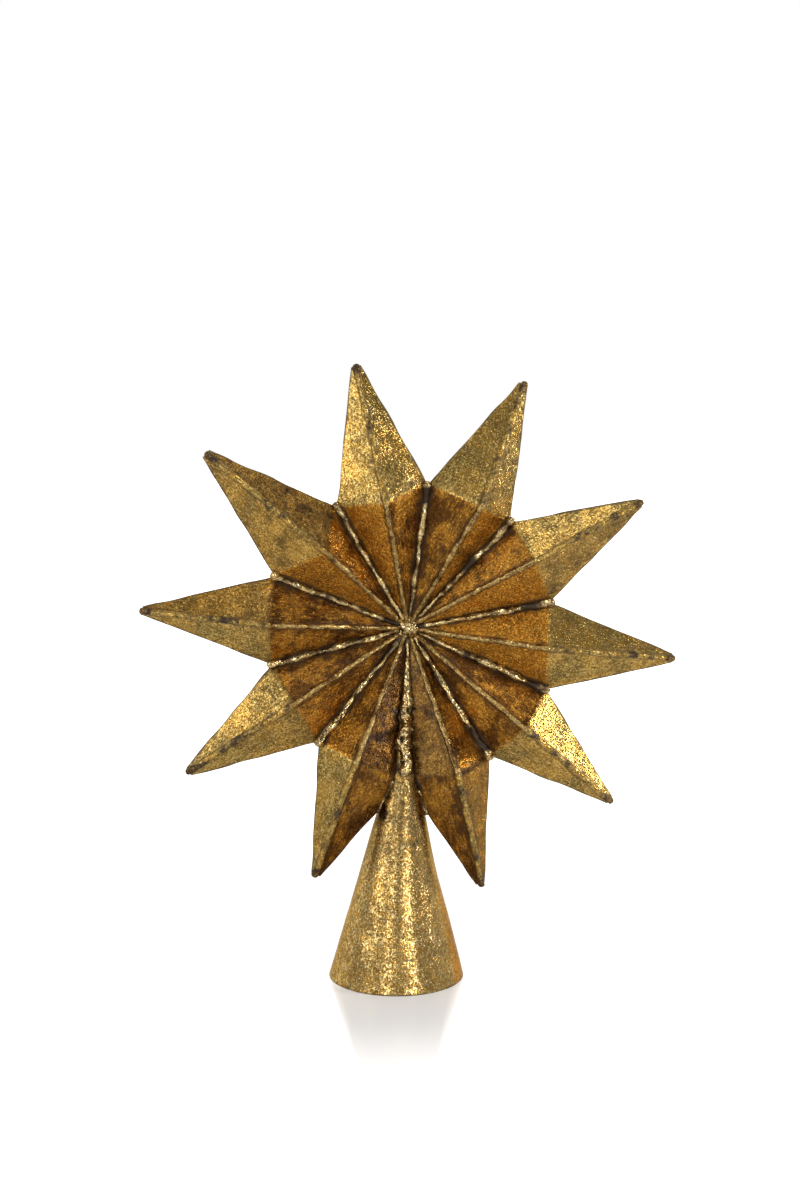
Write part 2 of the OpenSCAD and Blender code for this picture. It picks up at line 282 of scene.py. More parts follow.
blade = dict(
    hubClear=2.2, inner=70, outer=72, across=27, edgeSteps=4, edgeRise=3, innerCrowd=0.75, outerCrowd=1.2,
    wobble=0.5, wobbleSize=11, wobbleEnds=(9, 7),  # snips leave the cut edge a little uneven
    intoCone=-0.35, joint=1.0, jointDark=0.6, crack=2.2, crackHeight=93.5, crackLong=4,
    # How far from the ridge and valley lines their beads' edges lie; a valley's bead widens over its run
    ridgeGap=0.7, outerGap=0.9, valleyGap=0.9, valleyWiden=1.3, valleyRun=70,
    notchBurn=(0.7, 3), hubBurn=(0.8, 9), tipBurn=(0.8, 3.4),  # how dark, and over how many millimetres
    # How far the amber covers each ray's blades, left then right, inside the bend and outside it: inside,
    # lacquer pooled in the dish and painted light bounced between its gold facets; outside, painted shade
    # where a blade mirrors the dim room in front
    innerAmberAndBounce=(
        (1, 0.95), (1, 1), (1, 1), (1, 1), (0.85, 0.6),
        (1, 0.85), (1, 1), (1, 1), (1, 1), (1, 1)),
    outerAmberAndShade=(
        (0, 0), (0, 0.35), (0, 0), (0, 0), (0.6, 0.9),
        (0.9, 0), (0, 0), (0, 0.5), (0.35, 0.5), (0, 0.1)),
    # Half the width over which it ends at each ray's bend
    bendSoft=(1.1, 1, 1.2, 1, 1.4, 1.2, 2.6, 2.6, 1, 2.4),
    # How much brighter each blade's lacquer is, with more painted glints and coarser grain: painted light,
    # set blade by blade
    shine=(
        (-0.3, 1.0), (0.4, 1.7), (1.2, 2.2), (-0.2, 0), (0.5, -0.3),
        (-0.4, 0.6), (0, 0), (0, -0.2), (2.2, 0.3), (1.2, 0.4)),
    # How much each of them is darkened all over: thin brown glaze, with painted shade set blade by blade
    innerFilmAndShade=(
        (0.03, 0), (0.3, 0.03), (0, 0), (0.12, 0.1), (0, 0.54),
        (0.6, 0), (0.07, 0.4), (0.05, 0.22), (0, 0.2), (0, 0.06)),
    outerFilmAndShade=(
        (0, 0.24), (0.05, 0.32), (0, 0.03), (0, 0), (0.28, 0.22),
        (0.22, 0), (0, 0.14), (0, 0.05), (0.22, 0.5), (0, 0.1)),
    # The same near each notch and along each bend, fading over a few millimetres: glaze and painted shade
    # near the notches, painted shade along the bends, and on ray 5's left blade both dim a lamp's glint
    notchFilmAndShade=(
        (0.2, 0.1), (0.1, 0.4), (0.4, 0.5), (0.1, 0.2), (0.75, 0),
        (0, 0.1), (0.1, 0.1), (0.1, 0.1), (0.1, 0.1), (0.1, 0.3)),
    bendShade=(
        (0, 0), (0, 0), (0, 0), (0, 0), (0.8, 0.1),
        (0.1, 0), (0, 0), (0, 0), (0, 0), (0, 0)),
    notchReach=8.5, notchFade=0.6, bendReach=2.6,
    rearSeam=0.8, rearAmber=0.6,  # the back's folds and dish are glazed more thinly
)

def beside(i, side):  # the two blades that the cone cuts
    return (i, side) in ((lowValley, 1), (lowValley + 1, 0))

def outsideShare(ridge, edge, i, side, back, clearance):
    # The share of each cross line, from the ridge outwards, that stays clear of the cone.
    t = np.linspace(0, 1, 241)
    p = ridge[:, None] + (edge - ridge)[:, None] * t[None, :, None]
    p[..., 1] = bladeFront(i, side, p[..., 0], p[..., 2]) + sheetDents(p[..., 0], p[..., 2]) + back
    gap = coneGap(p) - clearance
    hit = gap < 0
    first = np.where(hit.any(1), hit.argmax(1), len(t) - 1)
    first = np.maximum(first, 1)
    row = np.arange(len(first))
    g0, g1 = gap[row, first - 1], gap[row, first]
    share = t[first - 1] + np.clip(g0 / np.where(g0 == g1, 1, g0 - g1), 0, 1) * (t[1] - t[0])
    return np.where(hit.any(1), share, 1)

def bladeGrid(i, side):
    # A ruled sheet between the ridge line and the outer line, each straight to its bend and on to its end.
    notch = notchBeside(i, side)
    corner = between(points[i], notch, bluntShare)
    start = blade["hubClear"] / norm(crests[i] - hub)
    s = np.linspace(0, 1, blade["inner"]) ** blade["innerCrowd"] * (1 - start) + start
    o = np.linspace(0, 1, blade["outer"]) ** blade["outerCrowd"]
    ridge = np.concatenate([between(hub, crests[i], s), between(crests[i], ridgeEnds[i], o[1:])])
    edge = np.concatenate([between(hub, notch, s), between(notch, corner, o[1:])])
    n, bend = len(ridge), blade["inner"] - 1
    # The cut edge wanders between the notch and the point
    out = unit((edge - ridge) * [1, 0, 1])
    free = norm(edge - notch, axis=1) * (np.arange(n) > bend)
    toCorner = norm(edge - corner, axis=1)
    nearNotch, nearCorner = blade["wobbleEnds"]
    wobble = blade["wobble"] * lumps(edge, blade["wobbleSize"], 2.6 + side)
    wobble = wobble * soften(free / nearNotch) * soften(toCorner / nearCorner)
    edge = edge + out * wobble[:, None]
    shares = [np.ones(n), np.ones(n)]
    if beside(i, side):
        shares = [outsideShare(ridge, edge, i, side, back, blade["intoCone"]) for back in (0, star["depth"])]
    width = norm((edge - ridge)[:, [0, 2]], axis=1)
    rounding = soften(free / blade["edgeRise"]) * (shares[0] == 1) * star["depth"] / 2
    t = np.linspace(0, 1, blade["across"])
    rows = []
    for share, back in zip(shares, (0, star["depth"])):
        reach = t[None] * (share - rounding / width)[:, None]
        p = ridge[:, None] + (edge - ridge)[:, None] * reach[..., None]
        x, z = p[..., 0], p[..., 2]
        y = bladeFront(i, side, x, z) + sheetDents(x, z) + back
        rows.append(np.stack([x, y, z], -1))
    front, rear = rows
    across = edge - ridge
    across[:, 1] = 0
    turn = np.pi * np.arange(1, blade["edgeSteps"] + 1) / (blade["edgeSteps"] + 1)
    middle, half = (front[:, -1] + rear[:, -1]) / 2, (rear[:, -1] - front[:, -1]) / 2
    arc = middle[:, None] - half[:, None] * np.cos(turn)[None, :, None]
    arc = arc + (unit(across) * rounding[:, None])[:, None] * np.sin(turn)[None, :, None]
    grid = np.concatenate([front, arc, rear[:, ::-1]], 1)
    core = (front + rear) / 2
    flat = np.concatenate([core, np.repeat(middle[:, None], len(turn), 1), core[:, ::-1]], 1)
    grid = np.concatenate([flat[:1], grid, flat[-1:]])
    return grid, bend + 1, notch

def bladeFields(grid, bend, i, side, notch):
    # Distances in millimetres from the lines where glaze gathers and painted shade lies beside the beads, and
    # how much of each coating there is.
    inner = np.arange(len(grid))[:, None] <= bend
    toInner, toOuter = lineDistance(grid, hub, crests[i]), lineDistance(grid, crests[i], points[i])
    toRidge = np.abs(np.where(inner, toInner, toOuter))
    toValley = np.abs(lineDistance(grid, hub, notch))
    toEdge = np.abs(lineDistance(grid, notch, points[i]))
    toBend = lineDistance(grid, crests[i], notch)
    inward = np.sign(lineDistance(hub[None], crests[i], notch))[0]
    toHub = norm(grid - hub, axis=-1)
    toNotch = norm(grid - notch, axis=-1)
    toTip = norm(grid - ridgeEnds[i], axis=-1)
    toBead = toValley - blade["valleyGap"] - blade["valleyWiden"] * toHub / blade["valleyRun"]
    # Painted shade and glaze lie beside the beads, out to a gap from each line
    seam = np.where(inner, np.minimum(toRidge - blade["ridgeGap"], toBead), toRidge - blade["outerGap"])
    burns = ((toNotch, blade["notchBurn"]), (toHub, blade["hubBurn"]), (toTip, blade["tipBurn"]))
    burntAndShade = np.max([dark * hump(away, 0, reach) for away, (dark, reach) in burns], axis=0)
    if beside(i, side):  # dark glaze and painted shade in the joint with the cone, wider on the right where a crack was left
        joint = np.maximum(coneGap(grid), 0)
        crack = side * np.exp(-(((grid[..., 2] - blade["crackHeight"]) / blade["crackLong"]) ** 4))
        reach = blade["joint"] + (blade["crack"] - blade["joint"]) * crack
        dark = blade["jointDark"] + (1 - blade["jointDark"]) * crack
        burntAndShade = np.maximum(burntAndShade, hump(joint, 0, reach) * dark)
    soft = blade["bendSoft"][i]
    past = soften((-toBend * inward + soft) / (2 * soft))
    # Amber: lacquer and painted bounce light inside the bend, painted shade outside it
    amber = blade["innerAmberAndBounce"][i][side] * (1 - past) + blade["outerAmberAndShade"][i][side] * past
    # Painted shade as well as glaze: each blade is darkened by its share of the tables above
    filmAndShade = blade["innerFilmAndShade"][i][side] * (1 - past) + blade["outerFilmAndShade"][i][side] * past
    # Painted shade near the notches and along the bends
    nearNotch = blade["notchFilmAndShade"][i][side] * hump(toNotch, 0, blade["notchReach"])
    atBend = blade["bendShade"][i][side] * hump(toBend, 0, blade["bendReach"])
    filmAndShade = np.maximum.reduce([filmAndShade, nearNotch * (1 - blade["notchFade"] * past), atBend])
    rear = np.arange(grid.shape[1]) >= blade["across"] + blade["edgeSteps"]
    amber, seam = amber * np.where(rear, blade["rearAmber"], 1), seam + rear * blade["rearSeam"]
    fields = dict(
        amber=amber, filmAndShade=filmAndShade, seam=np.maximum(seam, 0), rim=np.where(inner, 9, toEdge), burntAndShade=burntAndShade,
        shine=blade["shine"][i][side])
    uv = np.stack([toRidge, toHub + 53 * i + 0 * toRidge], -1)
    return fields, uv

# Materials
def toLinear(code):  # sRGB hex to linear red, green, blue, alpha
    c = np.array([int(code[k:k + 2], 16) for k in (1, 3, 5)]) / 255
    linear = np.where(c <= 0.04045, c / 12.92, ((c + 0.055) / 1.055) ** 2.4)
    return (*(float(v) for v in linear), 1.0)

smooth = dict(interpolation_type="SMOOTHSTEP")  # for a Map Range that eases in and out

def addNode(tree, kind, inputs, out=0, **settings):  # a node with its settings and inputs; gives one output
    made = tree.nodes.new("ShaderNode" + kind)
    for name, value in settings.items():
        setattr(made, name, value)
    for key, value in inputs.items():
        if isinstance(value, bpy.types.NodeSocket):
            tree.links.new(value, made.inputs[key])
        else:
            made.inputs[key].default_value = value
    return made.outputs[out]

# Imitation gold leaf laid over oil size and glazed brown: broken metal film, fine crumpled wrinkles that
# throw separate glints, dark glaze left in cracks, seams and at edges, painted shade beside the seams, and
# amber lacquer pooled in the dish, which also paints light bounced between the dish's gold facets.
leaf = dict(
    # Bare leaf, lacquered leaf and its painted glints, glaze, which also colours painted shade, and what the
    # lacquer leaves of light that grazes the metal
    warm="#B68A36", olive="#866A2B", pale="#EFD084",
    amber="#B87A22", amberDeep="#603C10", amberPale="#F0B44A", glazeAndShade="#2A180C", edgeTint="#FFF2D8",
    # Sizes of the patterns, and how far their places drift, in millimetres
    patchSize=15, gatherSize=6, fleckSize=0.85, wrinkleSize=2.6, foldSize=4.4, crackSize=6.5,
    streakWide=0.9, streakLong=5, flakeSize=0.8, bigFlakeSize=5, driftSize=3, drift=2.5,
    # Where the glaze, and painted shade beside a seam, is left: shares, levels of noise, and its reach from a
    # seam or an edge in millimetres
    foldWide=0.022, foldDark=0.9, crackWide=0.06, hair=0.5, pitLow=0.53, pitHigh=0.66, pitDark=0.8,
    seamReach=(0.15, 2.6), seamDark=0.9, rimReach=(0.4, 1.7), rimDark=0.85, grime=0.28,
    rubbed=0.4, pool=4, inside=0.5, shineGrain=0.7,
    # Relief in millimetres, tilts of the flakes, and gloss
    crinkle=0.12, wrinkle=0.12, fold=0.16, flakeTilt=0.1, bigFlakeTilt=0.045,
    roughness=0.17, patchRough=0.14, glazeRough=0.25, glazeMetal=0.25, coat=0.1, coatRoughness=0.12,
)

def perMetre(size):  # a pattern's scale from its size in millimetres
    return 1 / (size * mm)

def leafMaterial(name, look):
    material = bpy.data.materials.new(name)
    material.use_nodes = True
    tree = material.node_tree
    tree.nodes.clear()
    add = partial(addNode, tree)
    place = add("TexCoord", {}, "Object")
    flow = add("UVMap", {}, uv_map="flow")
    amber, seam, rim, burntAndShade, shine, filmAndShade = (
        add("Attribute", {}, "Fac", attribute_name=field)
        for field in ("amber", "seam", "rim", "burntAndShade", "shine", "filmAndShade"))
    # Patterns. Inputs 1 and 2 of a Map Range are mostly levels of noise, which runs from about 0.3 to 0.7
    patch, fleck, gather, wrinkle, winding = (
        add("TexNoise", {
            "Vector": place, "Scale": perMetre(look[size]),
            "Detail": detail, "Roughness": rough, "Distortion": bent})
        for size, detail, rough, bent in (
            ("patchSize", 4, 0.6, 0), ("fleckSize", 3, 0.65, 0), ("gatherSize", 3, 0.6, 0),
            ("wrinkleSize", 4, 0.7, 0.8), ("foldSize", 3, 0.55, 1.2)))
    fromMiddle = add("Math", {0: winding, 1: 0.5}, operation="SUBTRACT")
    nearMiddle = add("Math", {0: fromMiddle}, operation="ABSOLUTE")
    stretched = add("Mapping", {0: flow, 3: (perMetre(look["streakWide"]), perMetre(look["streakLong"]), 1)})
    streak = add("TexNoise", {
        "Vector": stretched, "Scale": 1, "Detail": 4, "Roughness": 0.6, "Distortion": 0.6})
    drift = add("TexNoise", {
        "Vector": place, "Scale": perMetre(look["driftSize"]), "Detail": 3, "Roughness": 0.7}, "Color")
    drifted = add("Mix", {0: look["drift"] * mm, 4: place, 5: drift}, 1, data_type="VECTOR")
    # Flakes of broken leaf, each with a tilt of its own, in two sizes
    lie = add("NewGeometry", {}, "Normal")
    for size, tilt in ((look["flakeSize"], look["flakeTilt"]), (look["bigFlakeSize"], look["bigFlakeTilt"])):
        flake = add("TexVoronoi", {"Vector": drifted, "Scale": perMetre(size)}, "Color")
        turned = add("VectorMath", {0: flake, 1: (0.5, 0.5, 0.5)}, operation="SUBTRACT")
        lie = add("VectorMath", {0: turned, 1: (2 * tilt,) * 3, 2: lie}, operation="MULTIPLY_ADD")
    lie = add("VectorMath", {0: lie}, operation="NORMALIZE")
    crackLine = add("TexVoronoi", {
        "Vector": drifted, "Scale": perMetre(look["crackSize"])}, "Distance", feature="DISTANCE_TO_EDGE")
    # Smooth ramps: an input, the two levels between which each one runs, and its values there
    ramps = dict(
        fold=(nearMiddle, 0, look["foldWide"], 1, 0),  # the noise's middle level is a thin winding line
        crack=(crackLine, 0, look["crackWide"], 1, 0),
        pits=(fleck, look["pitLow"], look["pitHigh"], 0, look["pitDark"]),
        hair=(streak, 0.6, 0.66, 0, look["hair"]), grime=(gather, 0.5, 0.64, 0, look["grime"]),
        patches=(patch, 0.38, 0.62, 0, 1), clear=(seam, 0, look["pool"], -0.06, 0.01),
        bright=(fleck, 0.5, 0.36, 0, 0.75), rubbed=(streak, 0.5, 0.36, 0, look["rubbed"]),
        glint=(fleck, 0.49, 0.4, 0, 1), crest=(wrinkle, 0.54, 0.64, 0, 0.8))
    ramp = {name: add("MapRange", dict(enumerate(row)), **smooth) for name, row in ramps.items()}
    # Where the glaze is left, and painted shade beside the beads, in joints and under the star
    broken = add("MapRange", {0: wrinkle, 1: 0.52, 2: 0.62, 3: 0, 4: 0.8})
    cracks = add("Math", {0: ramp["crack"], 1: broken}, operation="MULTIPLY")
    crowded = add("MapRange", {0: gather, 1: 0.42, 2: 0.58, 3: 0.15, 4: look["foldDark"]})
    folds = add("Math", {0: ramp["fold"], 1: crowded}, operation="MULTIPLY")
    glazeAndSeamShade = []
    for field, away in (("seam", seam), ("rim", rim)):
        least, most = look[field + "Reach"]
        reach = add("MapRange", {0: gather, 1: 0.36, 2: 0.62, 3: least, 4: most})
        glazeAndSeamShade.append(add("MapRange", {
            0: away, 1: 0, 2: reach, 3: look[field + "Dark"], 4: 0}, **smooth))
    scorchAndShade = add("Math", {0: burntAndShade, 1: wrinkle}, operation="ADD")
    scorchedAndShaded = add("MapRange", {0: scorchAndShade, 1: 0.8, 2: 1.15, 3: 0, 4: 1}, **smooth)
    glazeAndShade = ramp["pits"]
    for other in (cracks, folds, ramp["hair"], *glazeAndSeamShade, scorchedAndShaded):
        glazeAndShade = add("Math", {0: glazeAndShade, 1: other}, operation="MAXIMUM")
    # Colours
    outside = add("Mix", {
        0: ramp["patches"], 6:toLinear(look["warm"]), 7: toLinear(look["olive"])}, 2, data_type="RGBA")
    bright = add("Math", {0: ramp["bright"], 1: ramp["rubbed"]}, operation="MAXIMUM")
    outside = add("Mix", {0: bright, 6: outside, 7: toLinear(look["pale"])}, 2, data_type="RGBA")
    pooledAndLit = add("Mix", {0: 0.35, 2: patch, 3: streak})
    # Painted light: shine thins and brightens the lacquer
    pooledAndLit = add("Math", {0: shine, 1: 0.09, 2: pooledAndLit}, operation="MULTIPLY_ADD")
    pooledAndLit = add("Math", {0: pooledAndLit, 1: ramp["clear"]}, operation="ADD")  # lacquer runs thicker near a seam
    thinAndLit = add("MapRange", {0: pooledAndLit, 1: 0.42, 2: 0.6, 3: 0, 4: 1}, **smooth)
    inside = add("Mix", {
        0: thinAndLit, 6: toLinear(look["amberDeep"]), 7: toLinear(look["amber"])}, 2, data_type="RGBA")
    # Painted glints: pale amber flecks where the lacquer is thin and lit
    glint = add("Math", {0: ramp["glint"], 1: ramp["crest"]}, operation="MAXIMUM")
    paintedGlints = add("Math", {0: glint, 1: thinAndLit}, operation="MULTIPLY")
    inside = add("Mix", {0: paintedGlints, 6: inside, 7: toLinear(look["amberPale"])}, 2, data_type="RGBA")
    uneven = add("MapRange", {0: wrinkle, 1: 0.3, 2: 0.7, 3: -0.16, 4: 0.16})
    lacquer = add("Math", {0: amber, 1: uneven}, operation="ADD")
    lacquered = add("MapRange", {0: lacquer, 1: 0.2, 2: 0.8, 3: 0, 4: 1}, **smooth)
    colour = add("Mix", {0: lacquered, 6: outside, 7: inside}, 2, data_type="RGBA")
    clouded = add("MapRange", {0: patch, 1: 0.35, 2: 0.65, 3: 0.5, 4: 1.5})
    filmedAndShaded = add("Math", {0: filmAndShade, 1: clouded, 2: ramp["grime"]}, operation="MULTIPLY_ADD")
    # The dark colour goes on for glaze and painted shade alike
    glazedAndShaded = add("Math", {0: glazeAndShade, 1: filmedAndShaded}, operation="MAXIMUM")
    colour = add("Mix", {0: glazedAndShaded, 6: colour, 7: toLinear(look["glazeAndShade"])}, 2, data_type="RGBA")
    # Finish
    metal = add("MapRange", {0: glazeAndShade, 1: 0, 2: 1, 3: 1, 4: look["glazeMetal"]})
    rough = add("MapRange", {
        0: patch, 1: 0.3, 2: 0.7, 3: look["roughness"], 4: look["roughness"] + look["patchRough"]})
    rough = add("Math", {0: glazeAndShade, 1: look["glazeRough"], 2: rough}, operation="MULTIPLY_ADD")
    rubbedMore = add("Math", {0: shine, 1: look["shineGrain"], 2: look["inside"]}, operation="MULTIPLY_ADD")
    coarser = add("Math", {0: lacquered, 1: rubbedMore, 2: 1}, operation="MULTIPLY_ADD")
    crumpled = add("Math", {0: wrinkle, 1: coarser}, operation="MULTIPLY")
    grain = add("Math", {0: fleck, 1: coarser}, operation="MULTIPLY")
    fine = add("Math", {0: glazeAndShade, 1: -0.35, 2: grain}, operation="MULTIPLY_ADD")  # glaze lies lower
    relief = lie
    for deep, height in ((look["wrinkle"], crumpled), (look["fold"], winding), (look["crinkle"], fine)):
        relief = add("Bump", {"Strength": 1, "Distance": deep * mm, "Height": height, "Normal": relief})
    shader = add("BsdfPrincipled", {
        "Base Color": colour, "Metallic": metal, "Roughness": rough, "Normal": relief,
        "Specular Tint": toLinear(look["edgeTint"]), "Coat Weight": look["coat"],
        "Coat Roughness": look["coatRoughness"], "Coat Normal": relief})
    tree.links.new(shader, tree.nodes.new("ShaderNodeOutputMaterial").inputs["Surface"])
    return material

leafGilt = leafMaterial("gildedSheet", leaf)
coneGilt = leafMaterial("gildedCone", dict(
    leaf, warm="#CA9A40", olive="#A67E34", pale="#F6E6AC",
    amber="#D08830", amberDeep="#A06422", amberPale="#ECA850", edgeTint="#FFDCA0",
    patchSize=10, fleckSize=0.95, streakLong=3.5, pitLow=0.52, pitHigh=0.62, grime=0.3, rubbed=0.5,
    crinkle=0.11, wrinkle=0.03, fold=0.03, flakeTilt=0.05, bigFlakeTilt=0.03, roughness=0.11))
ridgeGilt = leafMaterial("gildedRidge", dict(
    leaf, amber="#AC8A4C", amberDeep="#6A4C26", amberPale="#D8BC7C",
    patchSize=7, foldDark=0.4, grime=0.3, inside=0, shineGrain=0, roughness=0.2))
brazeGilt = leafMaterial("gildedBraze", dict(
    leaf, amber="#C8A664", amberDeep="#50361A", amberPale="#FAE8B8",
    patchSize=5, foldDark=0.6, pitLow=0.57, pitHigh=0.68, grime=0.6, inside=0, shineGrain=0,
    crinkle=0.05, wrinkle=0.07, fold=0.14, flakeTilt=0.06, bigFlakeTilt=0.07, roughness=0.07))
burntGilt = leafMaterial("burntBraze", dict(
    leaf, warm="#6E5636", olive="#46331F", pale="#A88A56", roughness=0.36))
print("materials made")

def finishPiece(node, grid, fields, uv, material):
    base = dict(amber=0.0, filmAndShade=0.0, seam=9.0, rim=9.0, burntAndShade=0.0, shine=0.0)
    piece = buildPiece(node, grid, dict(base, **fields), uv)
    piece.data.materials.append(material)
    return piece

def makeBlades():
    for i in rays:
        for side, word in enumerate(("left", "right")):
            grid, bend, notch = bladeGrid(i, side)
            fields, uv = bladeFields(grid, bend, i, side, notch)
            finishPiece(f"ray_{i + 1:02d}_{word}", grid, fields, uv, leafGilt)

makeBlades()
print("blades made")

ridgeBead = dict(
    start=3.2, hubRadius=1.2, radius=1.5, crestLump=0.1, crestReach=3, rise=0.3, sink=0.66,
    around=28, steps=230, ends=(1.5, 1.2), wander=0.3, tuck=0.35,
    lump=0.24, lumpSize=3.6, pock=0.14, pockSize=1.3,
    clean=2, footGap=0.2,  # how fast the glaze and painted shade thin from the bead's foot up to its crown
    tipBurn=0.5, tipBurnLong=3.6, patchBurn=0.26, patchBurnSize=5, outerBurn=0.4, shine=0.5,
)

def makeRidges(look):
    for i in rays:
        inward, outward = norm(crests[i] - hub), norm(ridgeEnds[i] - crests[i])
        s = np.linspace(look["start"], inward + outward, look["steps"])
        a, b = np.clip(s / inward, 0, 1), np.clip((s - inward) / outward, 0, 1)
        toCrest, toTip = between(hub, crests[i], a), between(crests[i], ridgeEnds[i], b)
        path = np.where((s < inward)[:, None], toCrest, toTip)
        radius = look["hubRadius"] + (look["radius"] - look["hubRadius"]) * a
        radius = radius + look["crestLump"] * hump(s, inward, look["crestReach"])
        inner = 1 - soften((s - inward + look["crestReach"]) / (2 * look["crestReach"]))
        sunk = look["rise"] * inner + look["sink"] * (1 - inner)  # stands up in the dish, a soft edge beyond
        path = path + np.stack([0 * a, sunk, 0 * a], -1)
        grid, uv = beadGrid(path, radius, look, 0.37 * i, look["tuck"])
        crown = np.maximum(proud(grid), 0)
        burntAndShade = look["tipBurn"] * hump(s, s[-1], look["tipBurnLong"])
        burntAndShade = burntAndShade + look["patchBurn"] * lumps(path, look["patchBurnSize"], 4.4)
        burntAndShade = burntAndShade + look["outerBurn"] * (1 - inner)
        fields = dict(
            amber=inner[:, None], seam=crown * look["clean"] + look["footGap"],
            burntAndShade=burntAndShade[:, None], shine=look["shine"])
        finishPiece(f"ridge_seam_{i + 1:02d}", grid, fields, uv, ridgeGilt)

makeRidges(ridgeBead)
print("ridge beads made")

valleyBead = dict(
    start=4.2, beyond=2.3, hubRadius=1.3, radius=2.0, lowRadius=2.6, lowClear=2, lift=0.55,
    drop=0.5, dropLong=2, wrap=1.5, wrapFrom=2.6, wrapLong=2,  # fills the notch and goes round its edge
    around=40, steps=190, ends=(2.2, 1.9), wander=0.6, tuck=0.4,
    lump=0.45, lumpSize=7.2, pock=0.16, pockSize=2.1, clean=1.6, patchBurn=0.4, patchBurnSize=7, shine=0.5,
    # Where the torch burnt each one: how far along it, over what share of it, and how dark
    burns=(
        ((0.62, 0.09, 0.8), (0.93, 0.08, 0.6)), ((0.88, 0.14, 0.8), (0.1, 0.05, 0.7)),
        ((0.92, 0.1, 0.9), (0.45, 0.06, 0.5)), ((0.86, 0.12, 0.7), (0.4, 0.1, 0.5)),
        ((0.14, 0.2, 0.9), (0.7, 0.06, 0.4)), ((0.16, 0.12, 0.7), (0.75, 0.05, 0.5)),
        ((0.1, 0.1, 0.6), (0.95, 0.06, 0.5)), ((0.12, 0.12, 0.95), (0.6, 0.06, 0.7)),
        ((0.88, 0.1, 0.6), (0.12, 0.06, 0.6)), ((0.93, 0.08, 0.95), (0.12, 0.08, 0.7))),
)
# The low valley's bead ends above the cone's point, where the apex bead begins
lowShare = (cone["notchDrop"] + valleyBead["lowClear"]) / (hub[2] - notches[lowValley][2])
apexHigh = between(notches[lowValley], hub, lowShare)

def makeValleys(look):
    for i in rays:
        low = i == lowValley
        finish = apexHigh if low else notches[i]
        run = norm(finish - hub)
        s = np.linspace(look["start"], run + (0 if low else look["beyond"]), look["steps"])
        wide = look["lowRadius"] if low else look["radius"]
        drop, wrap = (0, 0) if low else (look["drop"], look["wrap"])
        radius = look["hubRadius"] + (wide - look["hubRadius"]) * s / run
        radius = radius + drop * hump(s, run, look["dropLong"])
        path = between(hub, finish, s / run) - np.stack([0 * s, look["lift"] * radius / wide, 0 * s], -1)
        tuck = look["tuck"] + wrap * soften((s - run + look["wrapFrom"]) / look["wrapLong"])
        grid, uv = beadGrid(path, radius, look, 0.61 * i + 5, tuck)
        crown = np.maximum(proud(grid), 0)
        burns = [dark * hump(s / run, at, share) for at, share, dark in look["burns"][i]]
        burntAndShade = np.max(burns, axis=0) + look["patchBurn"] * lumps(path, look["patchBurnSize"], 5.2 + i)
        # seam: glaze and painted shade at the bead's foot, thinning towards its crown
        fields = dict(amber=1.0, seam=crown * look["clean"], burntAndShade=burntAndShade[:, None], shine=look["shine"])
        finishPiece(f"valley_seam_{i + 1:02d}", grid, fields, uv, brazeGilt)

makeValleys(valleyBead)
print("valley beads made")

tipDrop = dict(
    radius=1.8, innerRadius=1.5, length=6.5, beyond=1.5, around=30, steps=36, ends=(1.8, 3.6), wander=0.05,
    lump=0.16, lumpSize=2.6, pock=0.08, pockSize=1.0, tuck=6, burntAndShade=0.12,
)

def makeTips(look):
    for i in rays:
        way = unit(crests[i] - ridgeEnds[i])
        s = np.linspace(0, look["length"], look["steps"])
        path = ridgeEnds[i] + way * (s - look["beyond"])[:, None] + [0, star["depth"] / 2, 0]
        radius = look["radius"] + (look["innerRadius"] - look["radius"]) * soften(s / look["length"])
        grid, uv = beadGrid(path, radius, look, 0.43 * i + 9, look["tuck"])
        fields = dict(burntAndShade=look["burntAndShade"])
        finishPiece(f"tip_drop_{i + 1:02d}", grid, fields, uv, burntGilt)

makeTips(tipDrop)
print("tip drops made")

boss = dict(
    radius=6.6, sink=1.2, tuck=0.1, rearTuck=0.95, around=160, steps=80,
    lump=0.14, lumpSize=2.8, pock=0.06, pockSize=1.1, finger=0.1, mostSwell=1.06,
    clean=2.4, footGap=0.7, filmAndShade=0.3, patchBurn=0.35, patchBurnSize=3.4,
)

def makeBoss(look):
    # A ball, (sin f cos a, -cos f, sin f sin a), swollen towards the ridges and drawn up to the sheet.
    f = np.linspace(0, np.pi, look["steps"])[:, None]
    a = np.linspace(0, 2 * np.pi, look["around"], endpoint=False)[None]
    ring = np.stack([np.sin(f) * np.cos(a), -np.cos(f) + 0 * a, np.sin(f) * np.sin(a)], -1)
    centre = hub + [0, look["sink"], 0]
    p = centre + ring * look["radius"]
    ridgeAt = np.pi / 2 - np.radians(rayTurn(0))
    swell = 1 + look["lump"] * lumps(p, look["lumpSize"], 1.9)
    swell = swell + look["pock"] * lumps(p, look["pockSize"], 2.9)
    swell = swell + look["finger"] * np.sin(f) ** 2 * np.cos(len(rays) * (a - ridgeAt))
    swell = np.minimum(swell, look["mostSwell"])
    tuck = look["tuck"] + (look["rearTuck"] - look["tuck"]) * f / np.pi  # each ring lies deeper than the last
    p = settle(centre + ring * look["radius"] * swell[..., None], tuck)
    crown = np.maximum(proud(p), 0)
    fields = dict(
        amber=1.0, filmAndShade=look["filmAndShade"], seam=crown * look["clean"] + look["footGap"],
        burntAndShade=look["patchBurn"] * lumps(p, look["patchBurnSize"], 6.6), shine=1.0)
    uv = np.stack([p[..., 0], p[..., 2]], -1)
    finishPiece("hub_boss", p, fields, uv, brazeGilt)

makeBoss(boss)
print("boss made")

